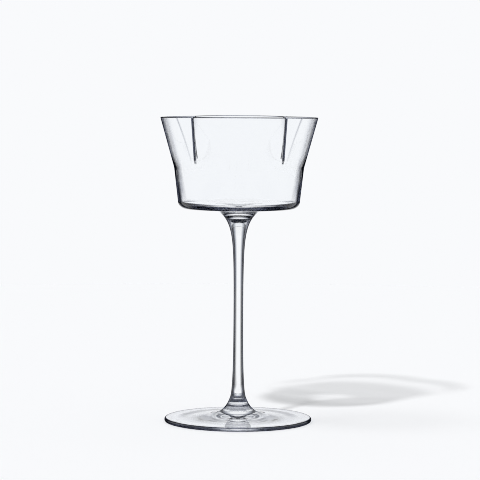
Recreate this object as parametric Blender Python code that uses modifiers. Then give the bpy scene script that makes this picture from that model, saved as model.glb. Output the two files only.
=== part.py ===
"""Cocktail coupe in clear glass: a blown bowl with a four-petal rim, a drawn stem and a round foot."""

import math

import bpy

MM = 0.001

# Whole glass
OVERALL_HEIGHT = 175.0 * MM
JOINT_GAP = 0.3 * MM  # left between pieces that are fused on the real glass

# Bowl: a tapered cup whose wall opens into petals above the shoulder
PETALS = 4
BOWL_HEIGHT = 52.7 * MM
RIM_SPAN = 90.3 * MM  # across opposite petals
CREASE_SPAN = 74.4 * MM  # across opposite creases, at the rim
PETAL_HEIGHT = 29.3 * MM  # from the rim down to the shoulder
SHOULDER_SPAN = 74.8 * MM  # across opposite petals, at the shoulder
SHOULDER_BLEND = 12.0 * MM  # radius that rounds the break between cup and petals
VALLEY_DEPTH = 1.7 * MM  # how far the shoulder is drawn in below each crease
BASE_SPAN = 68.8 * MM  # where the wall would meet the underside without its corner
BASE_CORNER = 4.6 * MM
RIM_WALL = 0.9 * MM
SHOULDER_WALL = 1.2 * MM
BASE_WALL = 2.0 * MM
FLOOR_THICKNESS = 3.0 * MM
FLOOR_CORNER = 3.6 * MM
RIM_ROUNDING = 0.36 * MM

# Stem: drawn from a wide end at the bowl down to a waist, wider again at the foot
WAIST_DIAMETER = 5.45 * MM
ANKLE_DIAMETER = 8.4 * MM  # at the foot, before its neck
ANKLE_DRAW = 12.4 * MM  # length over which the ankle runs out into the waist
NECK_DIAMETER = 9.6 * MM  # where stem and foot meet
NECK_DRAW = 1.8 * MM  # length over which the neck runs out into the ankle
COLLAR_DIAMETER = 18.75 * MM  # at the bowl, before its fillet
COLLAR_DRAW = 9.5 * MM  # length over which the collar runs out into the waist
COLLAR_FILLET = 4.7 * MM  # reach and height of the fillet under the bowl

# Foot: a nearly flat plate with a neck for the stem and a hollow underside
FOOT_DIAMETER = 84.4 * MM
FOOT_HEIGHT = 13.2 * MM  # floor to the joint with the stem
FOOT_EDGE = 2.3 * MM  # thickness of the edge
FOOT_EDGE_ROUNDING = 0.95 * MM
FOOT_PLATE_RISE = 2.2 * MM  # from the edge to the neck
FOOT_NECK_REACH = 4.5 * MM  # length over which the neck runs out onto the plate
REST_RING = 6.0 * MM  # width of the flat ring the glass stands on
HOLLOW_DEPTH = 1.6 * MM

# Fineness of the turned surfaces
BOWL_STEPS = 96
STEM_STEPS = 36
FOOT_STEPS = 72
CORNER_STEPS = 4


def mix(a, b, share):
    return a + (b - a) * share


def ease(share):
    share = min(max(share, 0.0), 1.0)
    return share * share * (3.0 - 2.0 * share)


def line_points(start, end, steps):
    """Points from start up to, but without, the end of a straight run."""
    return [tuple(mix(a, b, i / steps) for a, b in zip(start, end)) for i in range(steps)]


def fillet(before, corner, after, radius, steps):
    """Arc of the given radius that rounds a corner of a profile."""
    to_before = (before[0] - corner[0], before[1] - corner[1])
    to_after = (after[0] - corner[0], after[1] - corner[1])
    angle_before = math.atan2(to_before[1], to_before[0])
    angle_after = math.atan2(to_after[1], to_after[0])
    opening = math.remainder(angle_after - angle_before, math.tau)
    bisector = angle_before + opening / 2
    reach = radius / math.sin(abs(opening) / 2)
    middle = (corner[0] + reach * math.cos(bisector), corner[1] + reach * math.sin(bisector))
    sweep = math.copysign(math.pi - abs(opening), -opening)
    first = bisector + math.pi - sweep / 2
    points = []
    for i in range(steps + 1):
        turn = first + sweep * i / steps
        points.append((middle[0] + radius * math.cos(turn), middle[1] + radius * math.sin(turn)))
    return points


def bowl_profile():
    """Section of the bowl through a petal, from the middle of its floor over the rim to its underside."""
    shoulder = BOWL_HEIGHT - PETAL_HEIGHT
    floor_middle = (0.0, FLOOR_THICKNESS)
    inner_slope = (SHOULDER_SPAN - BASE_SPAN) / 2 / shoulder
    inner_corner = (BASE_SPAN / 2 - BASE_WALL + inner_slope * FLOOR_THICKNESS, FLOOR_THICKNESS)
    inner_shoulder = (SHOULDER_SPAN / 2 - SHOULDER_WALL, shoulder)
    inner_rim = (RIM_SPAN / 2 - RIM_WALL, BOWL_HEIGHT)
    outer_rim = (RIM_SPAN / 2, BOWL_HEIGHT)
    outer_shoulder = (SHOULDER_SPAN / 2, shoulder)
    outer_corner = (BASE_SPAN / 2, 0.0)
    base_middle = (0.0, 0.0)

    floor_arc = fillet(floor_middle, inner_corner, inner_shoulder, FLOOR_CORNER, CORNER_STEPS)
    inner_blend = fillet(inner_corner, inner_shoulder, inner_rim, SHOULDER_BLEND, 2)
    rim_inside = fillet(inner_shoulder, inner_rim, outer_rim, RIM_ROUNDING, 2)
    rim_outside = fillet(inner_rim, outer_rim, outer_shoulder, RIM_ROUNDING, 2)
    outer_blend = fillet(outer_rim, outer_shoulder, outer_corner, SHOULDER_BLEND, 2)
    base_arc = fillet(outer_shoulder, outer_corner, base_middle, BASE_CORNER, CORNER_STEPS)

    points = [floor_middle]
    points += floor_arc[:-1]
    points += line_points(floor_arc[-1], inner_blend[0], 3)
    points += inner_blend[:-1]
    points += line_points(inner_blend[-1], rim_inside[0], 4)
    points += rim_inside + rim_outside[:-1]
    points += line_points(rim_outside[-1], outer_blend[0], 4)
    points += outer_blend[:-1]
    points += line_points(outer_blend[-1], base_arc[0], 3)
    points += base_arc
    points.append(base_middle)
    return points


def petal_radius(from_axis):
    """Rim radius at an angle from the nearest petal's axis: each petal is an arc between two creases."""
    petal = RIM_SPAN / 2
    crease = CREASE_SPAN / 2
    centre = (petal**2 - crease**2) / 2 / (petal - crease * math.cos(math.pi / PETALS))
    arc = petal - centre
    return centre * math.cos(from_axis) + math.sqrt(arc**2 - (centre * math.sin(from_axis)) ** 2)


def draw_in(angle, height):
    """How far the round wall is drawn in towards the axis at an angle and a height above the underside."""
    pitch = math.tau / PETALS
    from_axis = math.remainder(angle, pitch)
    valley = VALLEY_DEPTH * (1.0 - math.cos(PETALS * from_axis)) / 2
    shoulder = BOWL_HEIGHT - PETAL_HEIGHT
    if height < shoulder:
        return valley * ease((height - BASE_CORNER) / (shoulder - BASE_CORNER))
    rim = RIM_SPAN / 2 - petal_radius(from_axis)
    return mix(valley, rim, (height - shoulder) / PETAL_HEIGHT)


def shape_petals(mesh):
    """Draws the turned wall in between the petals, most at the rim and not at all at the base."""
    for vertex in mesh.vertices:
        angle = math.atan2(vertex.co.y, vertex.co.x)
        drawn = draw_in(angle, vertex.co.z)
        vertex.co.x -= drawn * math.cos(angle)
        vertex.co.y -= drawn * math.sin(angle)


def stem_profile(length):
    """Section of the stem, from the middle of its upper end to the middle of its lower end."""
    waist = WAIST_DIAMETER / 2
    collar = COLLAR_DIAMETER / 2 - waist
    ankle = ANKLE_DIAMETER / 2 - waist
    neck = (NECK_DIAMETER - ANKLE_DIAMETER) / 2
    rows = 26
    points = [(0.0, length)]
    for i in range(rows + 1):
        drop = length * (1.0 - math.cos(math.pi * i / rows)) / 2
        radius = waist + collar * math.exp(-drop / COLLAR_DRAW)
        radius += COLLAR_FILLET * math.exp(-drop / COLLAR_FILLET)
        radius += ankle * math.exp((drop - length) / ANKLE_DRAW)
        radius += neck * math.exp((drop - length) / NECK_DRAW)
        points.append((radius, length - drop))
    points.append((0.0, 0.0))
    return points


def foot_profile():
    """Section of the foot, from the middle of its joint face over the plate to the hollow underside."""
    edge = FOOT_DIAMETER / 2
    neck = NECK_DIAMETER / 2
    neck_rise = FOOT_HEIGHT - FOOT_EDGE - FOOT_PLATE_RISE
    top_edge = (edge, FOOT_EDGE)
    low_edge = (edge, 0.0)
    rows = 10
    plate = []
    for i in range(rows + 1):
        share = (i / rows) ** 2
        height = FOOT_EDGE + FOOT_PLATE_RISE * (1.0 - share)
        height += neck_rise * math.exp(-share * (edge - neck) / FOOT_NECK_REACH)
        plate.append((mix(neck, edge, share), height))

    points = [(0.0, FOOT_HEIGHT)]
    points += plate[:-1]
    points += fillet(plate[-2], top_edge, low_edge, FOOT_EDGE_ROUNDING, CORNER_STEPS)
    points += fillet(top_edge, low_edge, (0.0, 0.0), FOOT_EDGE_ROUNDING, CORNER_STEPS)
    ring = edge - FOOT_EDGE_ROUNDING - REST_RING
    for share in (1.0, 0.75, 0.5, 0.25, 0.0):
        points.append((ring * share, HOLLOW_DEPTH * (1.0 - share)))
    return points


def turned(name, profile, steps, collection):
    """Object made by turning a profile about its Z axis."""
    mesh = bpy.data.meshes.new(name)
    edges = [(i, i + 1) for i in range(len(profile) - 1)]
    mesh.from_pydata([(radius, 0.0, height) for radius, height in profile], edges, [])
    piece = bpy.data.objects.new(name, mesh)
    collection.objects.link(piece)
    screw = piece.modifiers.new("Turn", "SCREW")
    screw.axis = "Z"
    screw.angle = math.tau
    screw.steps = steps
    screw.render_steps = steps
    screw.use_merge_vertices = True
    screw.merge_threshold = 0.00001
    screw.use_smooth_shade = True
    return piece


def set_turned(piece):
    """Replaces the profile of a turned piece by the turned mesh, so that its wall can be shaped."""
    settled = piece.evaluated_get(bpy.context.evaluated_depsgraph_get())
    mesh = bpy.data.meshes.new_from_object(settled)
    profile = piece.data
    piece.modifiers.clear()
    piece.data = mesh
    bpy.data.meshes.remove(profile)
    mesh.name = piece.name
    return mesh


def clear_glass(name):
    material = bpy.data.materials.new(name)
    material.use_nodes = True
    shader = material.node_tree.nodes["Principled BSDF"]
    shader.inputs["Base Color"].default_value = (0.96, 0.98, 0.985, 1.0)
    shader.inputs["Roughness"].default_value = 0.02
    shader.inputs["Metallic"].default_value = 0.0
    shader.inputs["Transmission Weight"].default_value = 1.0
    shader.inputs["IOR"].default_value = 1.52
    return material


def clear_scene():
    for item in list(bpy.data.objects):
        bpy.data.objects.remove(item, do_unlink=True)


def main():
    clear_scene()
    parts = bpy.data.collections.new("cocktail_coupe")
    bpy.context.scene.collection.children.link(parts)

    bowl_base = OVERALL_HEIGHT - BOWL_HEIGHT
    stem_base = FOOT_HEIGHT + JOINT_GAP
    stem_length = bowl_base - JOINT_GAP - stem_base

    foot = turned("foot", foot_profile(), FOOT_STEPS, parts)
    stem = turned("stem", stem_profile(stem_length), STEM_STEPS, parts)
    bowl = turned("bowl", bowl_profile(), BOWL_STEPS, parts)
    shape_petals(set_turned(bowl))

    stem.parent = foot
    stem.location.z = stem_base
    bowl.parent = stem
    bowl.location.z = bowl_base - stem_base

    for piece in (foot, stem, bowl):
        piece.data.materials.clear()
        piece.data.materials.append(clear_glass(piece.name + "_glass"))


main()
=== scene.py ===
"""Looks of the clear glass cocktail coupe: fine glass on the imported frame, a pale table and soft light."""

import math

import bpy
import numpy as np
from mathutils import Matrix, Vector


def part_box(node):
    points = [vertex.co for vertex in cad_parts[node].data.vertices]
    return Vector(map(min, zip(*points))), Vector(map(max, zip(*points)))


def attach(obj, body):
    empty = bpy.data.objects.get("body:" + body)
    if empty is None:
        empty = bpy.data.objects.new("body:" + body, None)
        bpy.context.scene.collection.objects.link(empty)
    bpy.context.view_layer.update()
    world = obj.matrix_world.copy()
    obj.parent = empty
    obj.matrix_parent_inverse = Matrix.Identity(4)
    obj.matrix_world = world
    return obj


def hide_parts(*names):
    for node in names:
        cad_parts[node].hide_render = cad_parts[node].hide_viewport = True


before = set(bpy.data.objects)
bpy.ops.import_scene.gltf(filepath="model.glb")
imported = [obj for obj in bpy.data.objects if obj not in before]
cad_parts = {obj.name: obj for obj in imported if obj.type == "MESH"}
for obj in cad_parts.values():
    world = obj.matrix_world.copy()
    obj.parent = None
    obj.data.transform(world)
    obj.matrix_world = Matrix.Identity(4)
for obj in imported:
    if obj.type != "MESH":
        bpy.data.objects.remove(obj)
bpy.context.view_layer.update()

MM = 0.001

# Bowl
PETALS = 4
RIM_SPAN = 90.3 * MM
CREASE_SPAN = 74.4 * MM
PETAL_HEIGHT = 29.3 * MM
SHOULDER_SPAN = 74.2 * MM
SHOULDER_BLEND = 12.0 * MM
VALLEY_DEPTH = 2.4 * MM
BASE_SPAN = 68.8 * MM
BASE_CORNER = 4.6 * MM
BASE_WALL = 2.0 * MM
PETAL_WALL = 0.85 * MM
WALL_THINS_FROM = 14.0 * MM
WALL_THINS_TO = 31.0 * MM
RIM_BEAD = 0.12 * MM  # extra thickness of the fire-polished rim
RIM_BEAD_HEIGHT = 4.0 * MM
FLOOR_THICKNESS = 3.0 * MM
FLOOR_CORNER = 2.0 * MM
RIM_ROUNDING = 0.45 * MM
SIDE_DIP = 0.45 * MM  # of the rim on the two petals at the sides

# Crease: a narrow fold pressed into the wall, sharper outside than inside, that ends above the shoulder
FOLD_DEPTH = 0.7 * MM
FOLD_HALF_WIDTH = 0.36 * MM
FOLD_END = 2.4 * MM  # above the shoulder
FOLD_RUN_OUT = 2.5 * MM
FOLD_ROUNDING = 0.15 * MM
# Painted shade in the creases: widens the painted dark edges in the folds
FOLD_SHADE_WIDENING = 0.8  # of the dark edges, in the folds
FOLD_INSIDE = 1.5  # width of a fold's inner face, in widths of its outer one
CREASE_THINNING = 4.0  # of the wall beside the creases, in shares of what their slant takes from it
THINNING_RUN_IN = 0.3  # share of the petals' height over which it sets in

# Faint fold that climbs each side petal's front half from a crease's lower end to the rim
SIDE_FOLD_DEPTH = 0.06 * MM
SIDE_FOLD_HALF_WIDTH = 0.45 * MM
SIDE_FOLD_LEAVES = math.radians(4.0)  # from the crease, at the crease's lower end
SIDE_FOLD_ENDS = math.radians(14.2)  # from the crease, at the rim
# Painted shade along the faint folds: the level the glass's colour darkens to there
SIDE_FOLD_SHADE = 0.25

# Stem
WAIST_DIAMETER = 5.45 * MM
ANKLE_DIAMETER = 8.4 * MM
ANKLE_DRAW = 12.4 * MM
NECK_DIAMETER = 9.6 * MM
NECK_DRAW = 1.8 * MM
COLLAR_DIAMETER = 18.75 * MM
COLLAR_DRAW = 9.5 * MM
COLLAR_FILLET = 4.7 * MM

# Foot
FOOT_EDGE = 2.3 * MM
FOOT_EDGE_ROUNDING = 0.95 * MM
FOOT_PLATE_RISE = 4.0 * MM
FOOT_PLATE_FLATTENING = 3  # power by which the plate flattens towards its edge
FOOT_NECK_REACH = 3.0 * MM
REST_RING = 6.0 * MM
HOLLOW_DEPTH = 1.6 * MM

# Heights from the frame
FOOT_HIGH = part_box("foot")[1]
BOWL_LOW, BOWL_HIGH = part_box("bowl")
FOOT_RADIUS = FOOT_HIGH.x
FOOT_TOP = FOOT_HIGH.z
BOWL_BASE = BOWL_LOW.z
BOWL_HEIGHT = BOWL_HIGH.z - BOWL_LOW.z
SHOULDER = BOWL_HEIGHT - PETAL_HEIGHT
JOINT_RADIUS = COLLAR_DIAMETER / 2 + COLLAR_FILLET

# Picture: the photograph is square
PICTURE_PIXELS = 480
LENS_PIXELS = 2239.0
CAMERA_DISTANCE = 1278.3 * MM
CAMERA_HEIGHT = BOWL_HIGH.z + 17.0 * MM
AIM_HEIGHT = 104.3 * MM
AIM_ASIDE = 0.72 * MM
CAMERA_ROLL = math.radians(0.3)

PALE = (0.947, 0.956, 0.974)
FLAG = (0.012, 0.014, 0.022)
CLEAR = (0.985, 0.993, 1.0)
# The glass's colour darkens only as painted shade; these shifts make that painted shade bluish
SHADE_HUE_SHIFT = (-0.07, -0.03, 0.11)  # shifts of red, green and blue where the glass darkens

GLASS_IOR = 1.5
RIPPLE_SCALE = 110.0
RIPPLE_HEIGHT = 0.012 * MM


def mix(a, b, share):
    return a + (b - a) * share


def ease(share):
    share = np.clip(share, 0.0, 1.0)
    return share * share * (3.0 - 2.0 * share)


def fillet(before, corner, after, radius, steps):
    """Arc of the given radius that rounds a corner of a profile."""
    before, corner, after = (np.array(point) for point in (before, corner, after))
    to_before = (before - corner) / np.linalg.norm(before - corner)
    to_after = (after - corner) / np.linalg.norm(after - corner)
    half = math.acos(np.clip(to_before @ to_after, -1.0, 1.0)) / 2
    bisector = (to_before + to_after) / np.linalg.norm(to_before + to_after)
    middle = corner + bisector * radius / math.sin(half)
    start = corner + to_before * radius / math.tan(half) - middle
    end = corner + to_after * radius / math.tan(half) - middle
    sweep = math.pi - 2 * half
    shares = np.linspace(0.0, 1.0, steps + 1)
    weights = [(math.sin((1 - s) * sweep), math.sin(s * sweep)) for s in shares]
    return [tuple(middle + (a * start + b * end) / math.sin(sweep)) for a, b in weights]


def run(start, end, steps):
    """Points strictly between the ends of a straight stretch of a profile."""
    return [tuple(mix(a, b, i / steps) for a, b in zip(start, end)) for i in range(1, steps)]


def skin(name, rings, materials, bands_of=()):
    """Closed mesh through rings of points that start and end on the axis.

    bands_of gives, for each material after the first, the bands between two rings that take it.
    """
    rows, columns = rings.shape[:2]
    inner = rings[1:-1].reshape(-1, 3)
    points = np.vstack([rings[0, :1], inner, rings[-1, :1]])
    last = len(points) - 1
    column = np.arange(columns)
    following = np.roll(column, -1)
    faces = [(0, 1 + a, 1 + b) for a, b in zip(column, following)]
    bands = [0] * columns
    for row in range(rows - 3):
        upper = 1 + row * columns
        lower = upper + columns
        for a, b in zip(column, following):
            faces.append((upper + a, lower + a, lower + b, upper + b))
        bands += [row + 1] * columns
    final = 1 + (rows - 3) * columns
    faces += [(final + a, last, final + b) for a, b in zip(column, following)]
    bands += [rows - 2] * columns
    mesh = bpy.data.meshes.new(name)
    mesh.from_pydata(points.tolist(), [], [tuple(map(int, face)) for face in faces])
    for material in materials:
        mesh.materials.append(material)
    slots = {band % (rows - 1): index for index, group in enumerate(bands_of, start=1) for band in group}
    for polygon, band in zip(mesh.polygons, bands):
        polygon.use_smooth = True
        polygon.material_index = slots.get(band, 0)
    mesh.set_sharp_from_angle(angle=math.radians(40))
    piece = bpy.data.objects.new(name, mesh)
    bpy.context.scene.collection.objects.link(piece)
    return piece


def petal_angles(steps):
    """Angles round the bowl, close together at the creases and wider apart towards the petals' axes."""
    growth = 3.2
    half = math.pi / PETALS
    share = np.arange(steps) / steps
    from_crease = half * np.expm1(growth * share) / math.expm1(growth)
    first = from_crease - half
    second = half - np.append(from_crease[1:], half)[::-1]
    petal = np.concatenate([first, second])
    return np.concatenate([petal + 2 * half * turn for turn in range(PETALS)])


def petal_radius(from_axis, wall=0.0):
    """Rim radius at an angle from a petal's axis, or that of the face that lies a wall inside it."""
    petal = RIM_SPAN / 2
    crease = CREASE_SPAN / 2
    centre = (petal**2 - crease**2) / 2 / (petal - crease * math.cos(math.pi / PETALS))
    arc = petal - centre - wall
    return centre * np.cos(from_axis) + np.sqrt(arc**2 - (centre * np.sin(from_axis)) ** 2)


def draw_in(angle, height, wall=0.0):
    """How far the round wall's outer face is drawn in to the axis, or its inner one if given a wall."""
    half = math.pi / PETALS
    from_axis = np.abs((angle + half) % (2 * half) - half)
    from_crease = half - from_axis
    rounding = FOLD_ROUNDING / (CREASE_SPAN / 2)
    from_axis = half - (np.sqrt(from_crease**2 + rounding**2) - rounding * (1 - from_crease / half))
    valley = VALLEY_DEPTH * (1.0 - np.cos(PETALS * from_axis)) / 2
    if height < SHOULDER:
        return valley * ease((height - BASE_CORNER) / (SHOULDER - BASE_CORNER))
    outer = petal_radius(from_axis)
    opened = (height - SHOULDER) / PETAL_HEIGHT
    drawn = mix(valley, RIM_SPAN / 2 - outer, opened)
    thinning = CREASE_THINNING * (1.0 - math.exp(-opened / THINNING_RUN_IN))
    drawn -= (outer - petal_radius(from_axis, wall) - wall) * thinning
    folded = ease((height - SHOULDER - FOLD_END) / FOLD_RUN_OUT)
    width = FOLD_HALF_WIDTH * (FOLD_INSIDE if wall else 1.0)
    drawn += FOLD_DEPTH * folded * np.exp(-((from_crease * CREASE_SPAN / 2 / width) ** 2))
    if not wall:
        climb = (height - SHOULDER - FOLD_END) / (PETAL_HEIGHT - FOLD_END)
        aside = (from_crease - mix(SIDE_FOLD_LEAVES, SIDE_FOLD_ENDS, climb)) * CREASE_SPAN / 2
        on_side = (np.abs(np.cos(angle)) > np.abs(np.sin(angle))) & (np.sin(angle) < 0.0)
        drawn += SIDE_FOLD_DEPTH * folded * on_side * np.exp(-((aside / SIDE_FOLD_HALF_WIDTH) ** 2))
    return drawn


def wall_at(height):
    """Thickness of the wall, thick in the cup, thin in the petals and with a bead along the rim."""
    thin = ease((height - WALL_THINS_FROM) / (WALL_THINS_TO - WALL_THINS_FROM))
    bead = RIM_BEAD * math.exp(-(((BOWL_HEIGHT - height) / RIM_BEAD_HEIGHT) ** 2))
    return mix(BASE_WALL, PETAL_WALL, thin) + bead


def bowl_profile():
    """Stretches of (radius, height) through a petal's axis, from the floor over the rim to the base."""
    outer_rim = (RIM_SPAN / 2, BOWL_HEIGHT)
    outer_shoulder = (SHOULDER_SPAN / 2, SHOULDER)
    outer_corner = (BASE_SPAN / 2, 0.0)
    base_middle = (0.0, 0.0)
    joint = (JOINT_RADIUS, 0.0)
    outer_blend = fillet(outer_rim, outer_shoulder, outer_corner, SHOULDER_BLEND, 8)
    outline = [outer_corner, *outer_blend[::-1], outer_rim]
    outer_heights = [height for radius, height in outline]
    outer_radii = [radius for radius, height in outline]

    def inner(height):
        return np.interp(height, outer_heights, outer_radii) - wall_at(height), height

    floor_middle = (0.0, FLOOR_THICKNESS)
    floor_arc = fillet(floor_middle, inner(FLOOR_THICKNESS), inner(3 * FLOOR_THICKNESS), FLOOR_CORNER, 16)
    inner_rim = inner(BOWL_HEIGHT)
    below_rim = inner(BOWL_HEIGHT - 2 * RIM_ROUNDING)
    rim_inside = fillet(below_rim, inner_rim, outer_rim, RIM_ROUNDING, 10)
    rim_outside = fillet(inner_rim, outer_rim, outer_shoulder, RIM_ROUNDING, 10)
    base_arc = fillet(outer_shoulder, outer_corner, base_middle, BASE_CORNER, 16)

    floor = [floor_middle, *run(floor_middle, floor_arc[0], 12), *floor_arc]
    inside = [inner(height) for height in np.linspace(floor_arc[-1][1], rim_inside[0][1], 64)[1:-1]]
    rim = [*rim_inside, *rim_outside[1:]]
    flare = run(rim_outside[-1], outer_blend[0], 36)
    outside = [*flare, *outer_blend, *run(outer_blend[-1], base_arc[0], 16)]
    base = [*base_arc, *run(base_arc[-1], joint, 6), joint, base_middle]
    return floor, inside, rim, outside, base


def make_bowl(materials):
    """Bowl with its own glass for the outside, the joint, the inside and the rim."""
    floor, inside, rim, outside, base = bowl_profile()
    angles = petal_angles(64)
    rings = []
    inner_rows = len(floor) + len(inside) + len(rim) // 2
    for row, (radius, height) in enumerate([*floor, *inside, *rim, *outside, *base]):
        reach = np.full_like(angles, radius)
        if radius > JOINT_RADIUS:
            reach = reach - draw_in(angles, height, wall_at(height) if row < inner_rows else 0.0)
        opened = max(0.0, (height - SHOULDER) / PETAL_HEIGHT)
        level = BOWL_BASE + height - SIDE_DIP * opened * np.cos(angles) ** 2
        rings.append(np.stack([reach * np.cos(angles), reach * np.sin(angles), level], axis=1))
    rim_start = len(floor) + len(inside)
    rim_end = rim_start + len(rim) - 1
    rim_top = rim_start + len(rim) // 2
    inner_bands = range(rim_top)
    rim_bands = range(rim_top, rim_end)
    return skin("bowl_glass", np.array(rings), materials, [[-1], inner_bands, rim_bands])


def turned_rings(profile, columns):
    """Rings of points that a profile makes when it is turned about the axis."""
    angles = np.linspace(0.0, math.tau, columns, endpoint=False)
    rows = np.array(profile)
    x = rows[:, :1] * np.cos(angles)
    y = rows[:, :1] * np.sin(angles)
    z = np.repeat(rows[:, 1:2], columns, axis=1)
    return np.stack([x, y, z], axis=2)


def make_stem(materials):
    """The stem reaches the bowl's underside and the foot's neck, where the glass is fused."""
    low = FOOT_TOP
    high = BOWL_BASE
    length = high - low
    waist = WAIST_DIAMETER / 2
    drop = length * (1.0 - np.cos(np.linspace(0.0, math.pi, 160))) / 2
    radius = waist + (COLLAR_DIAMETER / 2 - waist) * np.exp(-drop / COLLAR_DRAW)
    radius += COLLAR_FILLET * np.exp(-drop / COLLAR_FILLET)
    radius += (ANKLE_DIAMETER / 2 - waist) * np.exp((drop - length) / ANKLE_DRAW)
    radius += (NECK_DIAMETER - ANKLE_DIAMETER) / 2 * np.exp((drop - length) / NECK_DRAW)
    profile = [(0.0, high), *zip(radius, high - drop), (0.0, low)]
    return skin("stem_glass", turned_rings(profile, 96), materials, [[0, -1]])


def make_foot(materials):
    """The foot's plate flattens towards its edge and rises into a neck, over a shallow hollow."""
    edge = FOOT_RADIUS
    neck = NECK_DIAMETER / 2
    neck_rise = FOOT_TOP - FOOT_EDGE - FOOT_PLATE_RISE
    share = np.linspace(0.0, 1.0, 90) ** 2
    height = FOOT_EDGE + FOOT_PLATE_RISE * (1.0 - share) ** FOOT_PLATE_FLATTENING
    height += neck_rise * np.exp(-share * (edge - neck) / FOOT_NECK_REACH)
    plate = list(zip(mix(neck, edge, share), height))
    top_edge = (edge, FOOT_EDGE)
    low_edge = (edge, 0.0)
    ring = edge - FOOT_EDGE_ROUNDING - REST_RING
    top_arc = fillet(plate[-8], top_edge, low_edge, FOOT_EDGE_ROUNDING, 12)
    low_arc = fillet(top_edge, low_edge, (0.0, 0.0), FOOT_EDGE_ROUNDING, 12)
    hollow = [(ring * s, HOLLOW_DEPTH * (1.0 - s)) for s in np.linspace(1.0, 0.0, 40)]
    crown = [point for point in plate if point[0] < top_arc[0][0] - 0.1 * MM]
    profile = [(0.0, FOOT_TOP), *crown, *top_arc, *low_arc, *hollow]
    first = 1 + len(crown)
    edge_bands = range(first, first + len(top_arc) + len(low_arc) - 1)
    return skin("foot_glass", turned_rings(profile, 160), materials, [[0], edge_bands])


# Share of light let through per crossing of a glass face, from face-on (0) to edge-on (1). In the EDGE ramps
# this share is painted shade, which darkens the glass's edges in its colour. A GROWS ramp widens the painted
# dark edge by its share, a SPAN ramp gives the share of it that shows, both by height in metres.
# SHADOW_BANDS, also by height, and shares above 1 stand in for light that the glass gathers in its shadow.
BOWL_SHADOW = ((0.0, 0.8), (0.4, 0.77), (0.6, 0.8), (0.8, 0.85), (0.93, 0.75), (1.0, 0.4))
SHADOW_BANDS = ((0.135, 0.97), (0.148, 1.0), (0.154, 1.5), (0.166, 1.5), (0.169, 0.88))
STEM_SHADOW = ((0.0, 1.45), (0.15, 1.3), (0.3, 0.8), (1.0, 0.5))
FOOT_SHADOW = ((0.0, 0.98), (0.5, 0.96), (0.8, 0.8), (1.0, 0.5))
WALL_EDGE = ((0.0, 1.0), (0.71, 1.0), (0.76, 0.25), (0.8, 0.015), (1.0, 0.008))
WALL_EDGE_GROWS = ((0.1223, 0.0), (0.1225, 0.62), (0.1247, 0.6), (0.1268, 0.1), (0.134, 0.1), (0.143, 0.0))
INSIDE_EDGE = ((0.0, 1.0), (0.56, 1.0), (0.62, 0.8), (0.66, 0.55), (0.71, 0.3), (0.77, 0.2), (0.86, 0.06))
INSIDE_EDGE_GROWS = ((0.141, 0.0), (0.149, 0.08), (0.16, 0.1), (0.174, 0.11))
INSIDE_EDGE_SPAN = ((0.1265, 0.0), (0.1325, 1.0), (0.141, 1.0), (0.149, 0.75), (0.1735, 0.75), (0.1743, 0.0))
RIM_EDGE = ((0.0, 0.25), (0.12, 0.15), (0.3, 0.01), (0.7, 0.005), (1.0, 0.3))
STEM_EDGE = ((0.0, 1.0), (0.4, 1.0), (0.5, 0.1), (0.65, 0.004), (0.8, 0.0005))
STEM_EDGE_SPAN = ((0.1165, 1.0), (0.1205, 0.0))
STEM_EDGE_GROWS = ((0.0135, 0.34), (0.03, 0.2), (0.104, 0.2), (0.1215, 0.0))
NECK_EDGE = ((0.0, 1.0), (0.5, 1.0), (0.65, 0.1), (0.85, 0.01), (1.0, 0.005))
NECK_EDGE_SPAN = ((0.0062, 0.0), (0.0072, 1.0))
NECK_EDGE_GROWS = ((0.0088, 0.0), (0.0093, 0.7), (0.0097, 0.7), (0.0102, 0.0), (0.0111, 0.0), (0.0118, 0.95))
RING_EDGE = ((0.0, 0.9), (0.012, 0.8), (0.03, 0.25), (0.1, 0.08), (0.9, 0.02))

# Painted shade in rings of the foot where views leave it, by height: those of its underside up to 1.6 mm,
# then its top's
UNDERSIDE_BANDS = (
    (0.0, 0.65), (0.0002, 0.4), (0.0003, 0.4), (0.00045, 1.0),
    (0.00055, 1.0), (0.00075, 0.4), (0.0011, 0.4), (0.0013, 1.0),
)
TOP_BANDS = ((0.0025, 1.0), (0.0026, 0.03), (0.0034, 0.03), (0.0036, 1.0))
LEAVING_SLANT = (0.2, 0.25)  # how edge-on views leave where the underside's begin to show, and show fully


def painted_shade_colour(level):
    """Painted shade: colour of clear glass at a level, from white (1) to a bluish dark that stands in for
    shade.
    """
    return tuple(level ** (1.0 - shift) * full for shift, full in zip(SHADE_HUE_SHIFT, CLEAR))


def painted_shade_stops(stops):
    """Painted-shade colours of clear glass for (position, level) stops."""
    return [(position, painted_shade_colour(level)) for position, level in stops]


def new_material(name):
    material = bpy.data.materials.new(name)
    material.use_nodes = True
    nodes = material.node_tree.nodes
    nodes.clear()
    return material, nodes, material.node_tree.links


def math_node(nodes, links, operation, first, second=None):
    """Output of a maths node on two sockets or numbers."""
    node = nodes.new("ShaderNodeMath")
    node.operation = operation
    for socket, value in zip(node.inputs, (first, second)):
        if isinstance(value, (int, float)):
            socket.default_value = value
        elif value is not None:
            links.new(value, socket)
    return node.outputs[0]


def mix_node(nodes, links, share, first, second, blend="MIX"):
    """Mix of two sockets or colours, by the share that a socket gives."""
    node = nodes.new("ShaderNodeMixRGB")
    node.blend_type = blend
    links.new(share, node.inputs["Fac"])
    for socket, value in zip((node.inputs["Color1"], node.inputs["Color2"]), (first, second)):
        if isinstance(value, tuple):
            socket.default_value = (*value, 1.0)
        else:
            links.new(value, socket)
    return node.outputs["Color"]


def map_range(nodes, links, value, span, levels=(0.0, 1.0)):
    """Value carried over from a span to two levels, and held at them beyond the span's ends."""
    node = nodes.new("ShaderNodeMapRange")
    for socket, number in zip(node.inputs[1:5], (*span, *levels)):
        socket.default_value = number
    links.new(value, node.inputs["Value"])
    return node.outputs["Result"]


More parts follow.
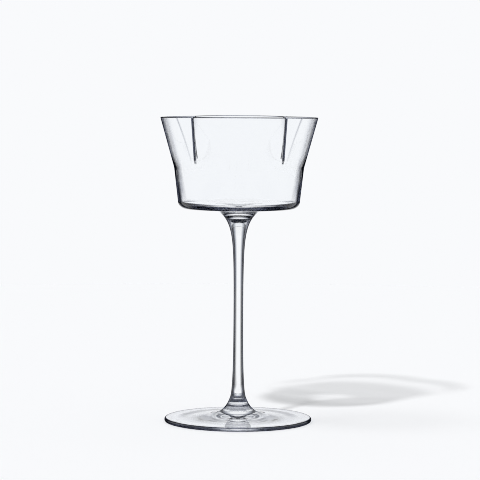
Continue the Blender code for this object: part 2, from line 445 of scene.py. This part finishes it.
def ramp(nodes, links, value, stops):
    """Grey for a value, through (position, level) stops, or a colour where the levels are triples."""
    node = nodes.new("ShaderNodeValToRGB")
    elements = node.color_ramp.elements
    while len(elements) < len(stops):
        elements.new(0.5)
    for element, (position, level) in zip(elements, stops):
        element.position = position
        element.color = (*level, 1.0) if isinstance(level, tuple) else (level, level, level, 1.0)
    links.new(value, node.inputs["Fac"])
    return node.outputs["Color"]


def height_ramp(nodes, links, split, stops):
    """Level at each height, through (height, level) stops."""
    low = stops[0][0]
    high = stops[-1][0]
    share = map_range(nodes, links, split.outputs["Z"], (low, high))
    return ramp(nodes, links, share, [((height - low) / (high - low), level) for height, level in stops])


def turn_ramp(nodes, links, split, stops):
    """Level at each turn of a direction or place away from +Y, through (degrees, level) stops."""
    azimuth = math_node(nodes, links, "ARCTAN2", split.outputs["X"], split.outputs["Y"])
    turn = math_node(nodes, links, "DIVIDE", math_node(nodes, links, "ABSOLUTE", azimuth), math.pi)
    return ramp(nodes, links, turn, [(degrees / 180.0, level) for degrees, level in stops])


def split_place(nodes, links, kind):
    """Texture coordinate of a kind, and the node that splits it into X, Y and Z."""
    place = nodes.new("ShaderNodeTexCoord").outputs[kind]
    split = nodes.new("ShaderNodeSeparateXYZ")
    links.new(place, split.inputs["Vector"])
    return place, split


def glass_rays(nodes, links):
    """1 for what is seen through glass or mirrored in it."""
    path = nodes.new("ShaderNodeLightPath")
    through = path.outputs["Is Transmission Ray"]
    return math_node(nodes, links, "MAXIMUM", path.outputs["Is Glossy Ray"], through)


def turn_from_crease(nodes, links, split):
    """Angle round the axis between a place and the nearest crease."""
    aside = math_node(nodes, links, "ARCTAN2", split.outputs["X"], split.outputs["Y"])
    from_axis = math_node(nodes, links, "PINGPONG", aside, math.pi / PETALS)
    return math_node(nodes, links, "SUBTRACT", math.pi / PETALS, from_axis)


def in_folds(nodes, links, split):
    """Mask of the painted shade in the creases: 1 in the bottom of the bowl's folds, 0 beside and below
    them.
    """
    half_width = FOLD_HALF_WIDTH / (CREASE_SPAN / 2)
    from_crease = turn_from_crease(nodes, links, split)
    narrow = map_range(nodes, links, from_crease, (2.0 * half_width, 3.0 * half_width), (1.0, 0.0))
    end = BOWL_BASE + SHOULDER + FOLD_END
    above = map_range(nodes, links, split.outputs["Z"], (end, end + FOLD_RUN_OUT))
    return math_node(nodes, links, "MULTIPLY", narrow, above)


def in_side_folds(nodes, links, split):
    """Mask of the painted shade along the faint folds that climb the side petals' front halves: 1 there, 0
    elsewhere.
    """
    low = BOWL_BASE + SHOULDER + FOLD_END
    high = BOWL_BASE + BOWL_HEIGHT
    half_width = 2.0 * SIDE_FOLD_HALF_WIDTH / (CREASE_SPAN / 2)
    turns = (SIDE_FOLD_LEAVES, SIDE_FOLD_ENDS)
    fold = map_range(nodes, links, split.outputs["Z"], (low, high), turns)
    off = math_node(nodes, links, "SUBTRACT", turn_from_crease(nodes, links, split), fold)
    off = math_node(nodes, links, "ABSOLUTE", off)
    line = map_range(nodes, links, off, (0.0, half_width), (1.0, 0.0))
    strength = ((low, 0.0), (low + 2.0 * FOLD_RUN_OUT, 0.5), (high, 1.0))
    line = math_node(nodes, links, "MULTIPLY", line, height_ramp(nodes, links, split, strength))
    across = math_node(nodes, links, "ABSOLUTE", split.outputs["X"])
    forward = math_node(nodes, links, "MULTIPLY", split.outputs["Y"], -1.0)
    on_side = math_node(nodes, links, "GREATER_THAN", across, forward)
    in_front = math_node(nodes, links, "GREATER_THAN", forward, 0.0)
    side_front = math_node(nodes, links, "MULTIPLY", on_side, in_front)
    return math_node(nodes, links, "MULTIPLY", line, side_front)


def leaving_views(nodes, links, split, facing):
    """Mask of the foot's painted shade rings: 1 where a view leaves the foot through its top or, as far as
    it slants, through its underside.
    """
    slant = map_range(nodes, links, facing, LEAVING_SLANT)
    top = math_node(nodes, links, "GREATER_THAN", split.outputs["Z"], HOLLOW_DEPTH)
    shows = math_node(nodes, links, "MAXIMUM", slant, top)
    from_inside = nodes.new("ShaderNodeNewGeometry").outputs["Backfacing"]
    leaves = math_node(nodes, links, "MULTIPLY", from_inside, shows)
    diffuse_bounces = nodes.new("ShaderNodeLightPath").outputs["Diffuse Depth"]
    is_view = math_node(nodes, links, "LESS_THAN", diffuse_bounces, 0.5)
    return math_node(nodes, links, "MULTIPLY", leaves, is_view)


def ripple_normal(nodes, links, place):
    """Slightly uneven face of hand-made glass."""
    ripple = nodes.new("ShaderNodeTexNoise")
    ripple.inputs["Scale"].default_value = RIPPLE_SCALE
    ripple.inputs["Detail"].default_value = 1.0
    links.new(place, ripple.inputs["Vector"])
    bump = nodes.new("ShaderNodeBump")
    bump.inputs["Strength"].default_value = 1.0
    bump.inputs["Distance"].default_value = RIPPLE_HEIGHT
    links.new(ripple.outputs["Fac"], bump.inputs["Height"])
    return bump.outputs["Normal"]


def clear_glass(
    name, shadow_stops, edge_stops,
    edge_span=None, edge_grows=None, folds=0.0, side_folds=0.0, shadow_bands=None, leaving_bands=None,
):
    """Clear glass that lets lamps through its shadow; both ramps run from face-on to edge-on.

    The edges darken with painted shade, which stands in for the dark edges of solid glass, by the share that
    edge_span gives for each height. The painted dark edges grow wider by the shares that edge_grows gives
    for each height, and by the share folds in the creases, as painted shade. The faint folds on the sides
    take painted shade and let through the share side_folds. The shadow brightens or darkens by the shares
    that shadow_bands gives for each height, and what is seen where a view leaves the glass dims with painted
    shade to the shares that leaving_bands gives.
    """
    material, nodes, links = new_material(name)
    layer = nodes.new("ShaderNodeLayerWeight")
    layer.inputs["Blend"].default_value = 0.5
    facing = layer.outputs["Facing"]
    place, split = split_place(nodes, links, "Object")

    # Painted shade: the glass's colour darkens towards its edges, in the folds, along the side folds and in
    # the foot's rings
    edgewise = facing
    if edge_grows:
        edgewise = math_node(nodes, links, "ADD", edgewise, height_ramp(nodes, links, split, edge_grows))
    if folds:
        folded = math_node(nodes, links, "MULTIPLY", in_folds(nodes, links, split), folds)
        edgewise = math_node(nodes, links, "ADD", edgewise, folded)
    painted_shade_base = ramp(nodes, links, edgewise, painted_shade_stops(edge_stops))
    if side_folds:
        painted_shade_base = mix_node(nodes, links, in_side_folds(nodes, links, split), painted_shade_base, painted_shade_colour(side_folds))
    if edge_span:
        painted_shade_base = mix_node(nodes, links, height_ramp(nodes, links, split, edge_span), CLEAR, painted_shade_base)
    if leaving_bands:
        dimmed = height_ramp(nodes, links, split, painted_shade_stops(leaving_bands))
        painted_shade_base = mix_node(nodes, links, leaving_views(nodes, links, split, facing), painted_shade_base, dimmed, "MULTIPLY")

    glass = nodes.new("ShaderNodeBsdfPrincipled")
    glass.inputs["Roughness"].default_value = 0.0
    glass.inputs["IOR"].default_value = GLASS_IOR
    glass.inputs["Transmission Weight"].default_value = 1.0
    links.new(painted_shade_base, glass.inputs["Base Color"])
    links.new(ripple_normal(nodes, links, place), glass.inputs["Normal"])

    let_through = ramp(nodes, links, facing, shadow_stops)
    if shadow_bands:
        bands = height_ramp(nodes, links, split, shadow_bands)
        let_through = math_node(nodes, links, "MULTIPLY", let_through, bands)
    shade = nodes.new("ShaderNodeBsdfTransparent")
    links.new(let_through, shade.inputs["Color"])
    choose = nodes.new("ShaderNodeMixShader")
    links.new(nodes.new("ShaderNodeLightPath").outputs["Is Shadow Ray"], choose.inputs["Fac"])
    links.new(glass.outputs["BSDF"], choose.inputs[1])
    links.new(shade.outputs["BSDF"], choose.inputs[2])
    output = nodes.new("ShaderNodeOutputMaterial")
    links.new(choose.outputs["Shader"], output.inputs["Surface"])
    return material


def fused_joint():
    """Face inside the glass where two pieces were fused: nothing shows there."""
    material, nodes, links = new_material("fused_joint")
    clear = nodes.new("ShaderNodeBsdfTransparent")
    output = nodes.new("ShaderNodeOutputMaterial")
    links.new(clear.outputs["BSDF"], output.inputs["Surface"])
    return material


# Table, just below the foot so that the faces don't meet
TABLE_RADIUS = 0.9
TABLE_SIDES = 128
TABLE_LEVEL = -0.2 * MM

# Shares of the light on the table
AMBIENT = 0.31
KEY_SHARE = 0.52
REAR_SHARE = 0.17
KEY_PLACE = (-0.265, -0.48, 0.72)
KEY_RADIUS = 0.026
KEY_LEAST_SLOPE = 0.1  # of its rays, below which they no longer grow stronger
REAR_TURN = math.radians(86.0)
REAR_ELEVATION = math.radians(60.0)
REAR_ANGLE = math.radians(16.0)

# Levels that glass sees around it, by degrees away from the back and by degrees upward
TABLE_FLAGS = ((0, 1.0), (11, 1.0), (21, 0.4), (28, 0.1), (33, 0.0), (38, 0.0), (45, 0.9))
SEEN_THROUGH = (*TABLE_FLAGS, (90, 0.9), (110, 0.8))
MIRRORED = ((0, 1.0), (4, 0.9), (7, 0.1), (10, 0.0), (36, 0.0), (44, 0.8), (90, 0.9), (110, 0.8))
UPWARD_STOPS = ((-90, 1.0), (50, 1.0), (60, 0.0), (90, 0.0))
SURROUNDINGS = ((0.0, FLAG), (0.35, (0.32, 0.34, 0.39)), (1.0, PALE))

# Shares by distance from the axis, in metres: of the flags on the table, and of the dark that glass mirrors
FLAGS_START = ((0.06, 0.0), (0.1, 1.0))
DARK_NEAR = ((0.15, 1.0), (0.25, 0.0))


def pale_table():
    """Table as bright as the background.

    Glass sees dark flags lie on both sides of it, and mirrors a dark table near the foot.
    """
    material, nodes, links = new_material("pale_table")
    place, split = split_place(nodes, links, "Object")
    length = nodes.new("ShaderNodeVectorMath")
    length.operation = "LENGTH"
    links.new(place, length.inputs[0])
    distance = length.outputs["Value"]

    flags = turn_ramp(nodes, links, split, TABLE_FLAGS)
    far = ramp(nodes, links, distance, FLAGS_START)
    share = math_node(nodes, links, "MULTIPLY", glass_rays(nodes, links), far)
    share = math_node(nodes, links, "MULTIPLY", share, math_node(nodes, links, "SUBTRACT", 1.0, flags))
    path = nodes.new("ShaderNodeLightPath")
    through = path.outputs["Is Transmission Ray"]
    mirrored = math_node(nodes, links, "SUBTRACT", path.outputs["Is Glossy Ray"], through)
    near = ramp(nodes, links, distance, DARK_NEAR)
    below = math_node(nodes, links, "MULTIPLY", mirrored, near)
    share = math_node(nodes, links, "MAXIMUM", share, below)

    surface = nodes.new("ShaderNodeBsdfDiffuse")
    links.new(mix_node(nodes, links, share, PALE, FLAG), surface.inputs["Color"])
    output = nodes.new("ShaderNodeOutputMaterial")
    links.new(surface.outputs["BSDF"], output.inputs["Surface"])
    return material


def make_table():
    """Round table top."""
    mesh = bpy.data.meshes.new("table")
    turns = np.linspace(0.0, math.tau, TABLE_SIDES, endpoint=False)
    edge = [(TABLE_RADIUS * math.cos(turn), TABLE_RADIUS * math.sin(turn), TABLE_LEVEL) for turn in turns]
    mesh.from_pydata(edge, [], [range(TABLE_SIDES)])
    mesh.materials.append(pale_table())
    table = bpy.data.objects.new("table", mesh)
    bpy.context.scene.collection.objects.link(table)


def add_lamp(name, kind):
    data = bpy.data.lights.new(name, kind)
    lamp = bpy.data.objects.new(name, data)
    bpy.context.scene.collection.objects.link(lamp)
    lamp.visible_glossy = False
    lamp.visible_transmission = False
    return lamp, data


def make_key():
    """Near lamp with its light spread evenly over the table, so that only the shadow shows it is near."""
    lamp, data = add_lamp("key", "POINT")
    lamp.location = KEY_PLACE
    data.shadow_soft_size = KEY_RADIUS
    data.energy = KEY_SHARE * 4 * math.pi**2
    data.use_nodes = True
    nodes = data.node_tree.nodes
    links = data.node_tree.links
    split = split_place(nodes, links, "Normal")[1]
    downward = math_node(nodes, links, "ABSOLUTE", split.outputs["Z"])
    steep = math_node(nodes, links, "MAXIMUM", downward, KEY_LEAST_SLOPE)
    falloff = nodes.new("ShaderNodeLightFalloff")
    links.new(math_node(nodes, links, "DIVIDE", 1.0, steep), falloff.inputs["Strength"])
    emission = next(node for node in nodes if node.type == "EMISSION")
    links.new(falloff.outputs["Constant"], emission.inputs["Strength"])


def make_rear():
    """Far soft lamp that gives a flat table its share of full light."""
    lamp, data = add_lamp("rear", "SUN")
    data.energy = REAR_SHARE * math.pi / math.sin(REAR_ELEVATION)
    data.angle = REAR_ANGLE
    level = math.cos(REAR_ELEVATION)
    travel = Vector((math.sin(REAR_TURN) * level, math.cos(REAR_TURN) * level, -math.sin(REAR_ELEVATION)))
    lamp.rotation_euler = travel.to_track_quat("-Z", "Y").to_euler()


def make_world():
    """Even white light; glass sees a white backdrop with dark flags beside it and a dark ceiling."""
    world = bpy.data.worlds.new("studio")
    bpy.context.scene.world = world
    world.use_nodes = True
    nodes = world.node_tree.nodes
    links = world.node_tree.links
    nodes.clear()

    split = split_place(nodes, links, "Generated")[1]
    elevation = math_node(nodes, links, "ARCSINE", split.outputs["Z"])
    elevation = map_range(nodes, links, elevation, (-math.pi / 2, math.pi / 2))
    upward = ramp(nodes, links, elevation, [((angle + 90) / 180.0, level) for angle, level in UPWARD_STOPS])
    mirrored = turn_ramp(nodes, links, split, MIRRORED)
    seen_through = turn_ramp(nodes, links, split, SEEN_THROUGH)
    path = nodes.new("ShaderNodeLightPath")
    around = mix_node(nodes, links, path.outputs["Is Transmission Ray"], mirrored, seen_through)
    level = math_node(nodes, links, "MULTIPLY", around, upward)
    seen_in_glass = ramp(nodes, links, level, SURROUNDINGS)

    even = mix_node(nodes, links, path.outputs["Is Camera Ray"], (AMBIENT, AMBIENT, AMBIENT), PALE)
    studio = mix_node(nodes, links, glass_rays(nodes, links), even, seen_in_glass)
    background = nodes.new("ShaderNodeBackground")
    output = nodes.new("ShaderNodeOutputWorld")
    links.new(studio, background.inputs["Color"])
    links.new(background.outputs["Background"], output.inputs["Surface"])


def make_camera():
    data = bpy.data.cameras.new("camera")
    data.sensor_width = 36.0
    data.lens = data.sensor_width * LENS_PIXELS / PICTURE_PIXELS
    data.clip_end = 50.0
    camera = bpy.data.objects.new("camera", data)
    bpy.context.scene.collection.objects.link(camera)
    camera.location = (AIM_ASIDE, -CAMERA_DISTANCE, CAMERA_HEIGHT)
    aim = Vector((AIM_ASIDE, 0.0, AIM_HEIGHT)) - camera.location
    turn = aim.to_track_quat("-Z", "Y").to_matrix() @ Matrix.Rotation(CAMERA_ROLL, 3, "Z")
    camera.rotation_euler = turn.to_euler()
    bpy.context.scene.camera = camera


def main():
    joint = fused_joint()
    outside = clear_glass(
        "wall_glass", BOWL_SHADOW, WALL_EDGE, edge_grows=WALL_EDGE_GROWS,
        folds=FOLD_SHADE_WIDENING, side_folds=SIDE_FOLD_SHADE, shadow_bands=SHADOW_BANDS,
    )
    inside = clear_glass(
        "inside_glass", BOWL_SHADOW, INSIDE_EDGE, INSIDE_EDGE_SPAN, INSIDE_EDGE_GROWS, FOLD_SHADE_WIDENING
    )
    rim = clear_glass("rim_glass", BOWL_SHADOW, RIM_EDGE)
    rod = clear_glass("stem_glass", STEM_SHADOW, STEM_EDGE, STEM_EDGE_SPAN, STEM_EDGE_GROWS)
    plate = clear_glass(
        "plate_glass", FOOT_SHADOW, NECK_EDGE, NECK_EDGE_SPAN, NECK_EDGE_GROWS,
        leaving_bands=(*UNDERSIDE_BANDS, *TOP_BANDS),
    )
    plate_edge = clear_glass("plate_edge_glass", FOOT_SHADOW, RING_EDGE)
    pieces = {
        "bowl": make_bowl([outside, joint, inside, rim]),
        "stem": make_stem([rod, joint]),
        "foot": make_foot([plate, joint, plate_edge]),
    }
    for node, piece in pieces.items():
        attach(piece, "root")
        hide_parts(node)
    make_table()
    make_key()
    make_rear()
    make_world()
    make_camera()
    scene = bpy.context.scene
    scene.view_settings.view_transform = "Standard"
    scene.cycles.max_bounces = 24
    scene.cycles.transmission_bounces = 24
    scene.cycles.glossy_bounces = 16
    scene.cycles.transparent_max_bounces = 24
    scene.cycles.filter_width = 0.9


main()
